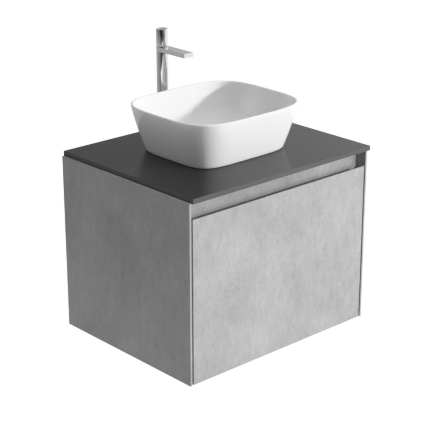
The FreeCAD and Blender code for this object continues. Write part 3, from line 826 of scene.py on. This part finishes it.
def tap_body():
    """Column whose wall runs on into the round rear end of the flat spout."""
    n = TAP_SEGMENTS
    half = n // 2
    spout_z = tap_high.z - SPOUT_T

    def column(z):
        turns = [math.pi * i / half for i in range(n)]
        return [(TAP_X + TAP_R * math.cos(t), TAP_Y + TAP_R * math.sin(t), z) for t in turns]

    lean = SPOUT_T * math.tan(math.radians(SPOUT_LEAN))
    front = [(TAP_X - TAP_R, tap_low.y), (TAP_X + TAP_R, tap_low.y)]
    verts = column(tap_low.z) + column(spout_z)
    top_start = len(verts)
    verts += column(tap_high.z)[:half + 1]
    front_low = len(verts)
    verts += [(x, y, spout_z) for x, y in front]
    front_high = len(verts)
    verts += [(x, y + lean, tap_high.z) for x, y in front]

    # the column and its foot
    faces = [list(range(n))]
    faces += [[i, (i + 1) % n, n + (i + 1) % n, n + i] for i in range(n)]
    # the spout's round rear, left side, front end and right side
    faces += [[n + i, n + i + 1, top_start + i + 1, top_start + i] for i in range(half)]
    faces.append([n + half, front_low, front_high, top_start + half])
    faces.append([front_low, front_low + 1, front_high + 1, front_high])
    faces.append([front_low + 1, n, top_start, front_high + 1])
    # its top and its underside
    faces.append([top_start + i for i in range(half + 1)] + [front_high, front_high + 1])
    faces.append([front_low + 1, front_low] + [n + half + i for i in range(half)] + [n])
    obj = new_object("tap_body_cast", verts, faces)

    pocket_r = radius_of("tap_aerator") + 0.05 * MM
    pocket_depth = 8.0 * MM
    below = 5.0 * MM
    start = middle_of("tap_aerator") + (spout_z - below,)
    pocket = [(pocket_r, 0.0), (pocket_r, below + pocket_depth)]
    carve(obj, lathe("cutter", pocket, start, "Z", 48, closed=False))
    bevel(obj, 0.45 * MM)
    stands_for(obj, "tap_body")


def tap_handle():
    """Turned cylinder, hollow over the cartridge, with a dished top and a grub screw hole behind."""
    height = handle_high.z - handle_low.z
    edge = 0.5 * MM
    socket_r, socket_top = 4.05 * MM, 20.4 * MM
    cavity_r, cavity_top = 13.2 * MM, 12.4 * MM
    dish = height - 0.3 * MM
    profile = [(socket_r, socket_top), (socket_r, cavity_top), (cavity_r, cavity_top), (cavity_r, 0.0)]
    profile += arc(TAP_R - edge, edge, edge, -90, 0, 3)
    profile += arc(TAP_R - edge, height - edge, edge, 0, 90, 4)
    profile += [(TAP_R - 1.6 * MM, height - 0.1 * MM), (TAP_R - 1.9 * MM, dish), (2.0 * MM, dish)]
    foot = (TAP_X, TAP_Y, handle_low.z)
    obj = lathe("tap_handle_turned", profile, foot, "Z", TAP_SEGMENTS, closed=False)

    screw_r = 1.6 * MM
    screw_z = (socket_top + cavity_top) / 2
    screw_at = (TAP_X, TAP_Y + 3.0 * MM, handle_low.z + screw_z)
    carve(obj, lathe("cutter", [(screw_r, 0.0), (screw_r, 20.0 * MM)], screw_at, "Y", 32, closed=False))
    smooth(obj, 40.0)
    stands_for(obj, "tap_handle")


tap_body()
tap_handle()


# ---------------------------------------------------------------- trap and fixings

def grip(ribs, depth):
    """Wave of rounded grooves round a part, for lathe."""
    return lambda turn: -depth * max(0.0, math.cos(ribs * turn)) ** 0.5


def ribbed_nut(node, axis, bore, lip, lip_first=False, ribs=22):
    """Moulded nut with grip ribs.

    bore is the threaded end's radius, and lip the radius of the hole at the other end.
    """
    low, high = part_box(node)
    along = "XYZ".index(axis)
    length = high[along] - low[along]
    outer = radius_of(node)
    start = (low + high) / 2
    start[along] = low[along]
    lip_top = length - 3.0 * MM

    profile = [(bore, 0.0), (outer - 1.6 * MM, 0.0), (outer - 0.4 * MM, 0.5 * MM), (outer, 1.2 * MM)]
    ribbed = [len(profile), len(profile) + 1]
    profile += [(outer, 2.2 * MM), (outer, length - 4.0 * MM)]
    profile += [(outer - 0.6 * MM, length - 2.6 * MM), (outer - 2.4 * MM, length - 0.6 * MM)]
    profile += [(outer - 3.4 * MM, length), (lip, length), (lip, lip_top), (bore, lip_top)]
    if lip_first:
        profile = [(radius, length - height) for radius, height in profile]
    obj = lathe(node + "_ribbed", profile, start, axis, ribs * 10, grip(ribs, 1.1 * MM), ribbed)
    smooth(obj, 30.0)
    stands_for(obj, node)


def trap_cup():
    """Cup with grip ribs round it and a cross underneath to turn it by."""
    low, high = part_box("trap_cup")
    centre_x, centre_y = middle_of("trap_cup")
    outer = radius_of("trap_cup")
    cross_h = 4.0 * MM
    floor = low.z + cross_h
    height = high.z - floor
    corner = 6.0 * MM
    hub = 2.0 * MM
    thread_r = 32.0 * MM
    thread_foot = height - 27.0 * MM
    inner_r = 29.0 * MM
    floor_t = 4.0 * MM
    ribs = 28

    profile = [(hub, 0.0)] + arc(outer - 7.0 * MM, corner, corner, -90, -15, 5) + [(outer, 7.0 * MM)]
    ribbed = [len(profile), len(profile) + 1]
    profile += [(outer, 9.0 * MM), (outer, height - 6.0 * MM)]
    profile += [(outer, height - 2.0 * MM), (outer - 1.0 * MM, height)]
    profile += [(thread_r, height), (thread_r, thread_foot), (inner_r, thread_foot)]
    profile += [(inner_r, floor_t + 2.0 * MM), (inner_r - 2.0 * MM, floor_t), (hub, floor_t)]
    foot = (centre_x, centre_y, floor)
    wave = grip(ribs, 1.2 * MM)
    cup = lathe("trap_cup_ribbed", profile, foot, "Z", ribs * 10, wave, ribbed, closed=False)
    smooth(cup, 30.0)
    stands_for(cup, "trap_cup")

    reach = 26.0 * MM
    half = 2.0 * MM
    for name, size_x, size_y in (("across", reach, half), ("along", half, reach)):
        first = (centre_x - size_x, centre_y - size_y, low.z)
        last = (centre_x + size_x, centre_y + size_y, floor + 1.0 * MM)
        belongs_to(block("trap_cup_grip_" + name, first, last, 0.8 * MM), "trap_cup")


def threaded_tube(node, bore, pitch, depth):
    """Upright tube with grooves on its outside, as a thread looks."""
    low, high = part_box(node)
    outer = radius_of(node)
    root = outer - depth
    start = (low + high) / 2
    start.z = low.z
    length = high.z - low.z
    profile = [(bore, 0.0), (root, 0.0)]
    for i in range(int(length / pitch)):
        profile += [(root, (i + 0.25) * pitch), (outer, (i + 0.6) * pitch), (outer, (i + 0.8) * pitch)]
    profile += [(root, length), (bore, length)]
    obj = lathe(node + "_threaded", profile, start, "Z", 72)
    smooth(obj, 20.0)
    stands_for(obj, node)


def eased(node, width):
    """The node's own shape with its sharp edges rounded."""
    source = frame["nodes"][node]
    mesh = source.data.copy()
    mesh.transform(source.matrix_world)
    obj = bpy.data.objects.new(node + "_eased", mesh)
    scene.collection.objects.link(obj)
    work = bmesh.new()
    work.from_mesh(mesh)
    bmesh.ops.remove_doubles(work, verts=work.verts, dist=0.01 * MM)
    bmesh.ops.dissolve_limit(work, angle_limit=math.radians(0.5), verts=work.verts, edges=work.edges)
    for edge in work.edges:
        edge.smooth = True
    work.to_mesh(mesh)
    work.free()
    bevel(obj, width, 2, 40.0)
    stands_for(obj, node)


ribbed_nut("trap_coupling_nut", "Z", 20.5 * MM, 16.1 * MM, lip_first=True)
ribbed_nut("trap_inlet_nut", "Z", 20.0 * MM, 16.1 * MM)
ribbed_nut("trap_outlet_nut", "Y", 19.0 * MM, 15.4 * MM)
trap_cup()
threaded_tube("tap_shank", bore=11.0 * MM, pitch=1.5 * MM, depth=0.5 * MM)

BOARDS = (
    "bottom_panel", "top_front_rail", "top_rear_rail", "drawer_side_left", "drawer_side_right",
    "drawer_back_left", "drawer_back_right", "drawer_bottom", "drawer_shroud",
)
for name in BOARDS:
    eased(name, 0.5 * MM)
for name in ("tap_backnut", "waste_backnut"):
    eased(name, 0.7 * MM)
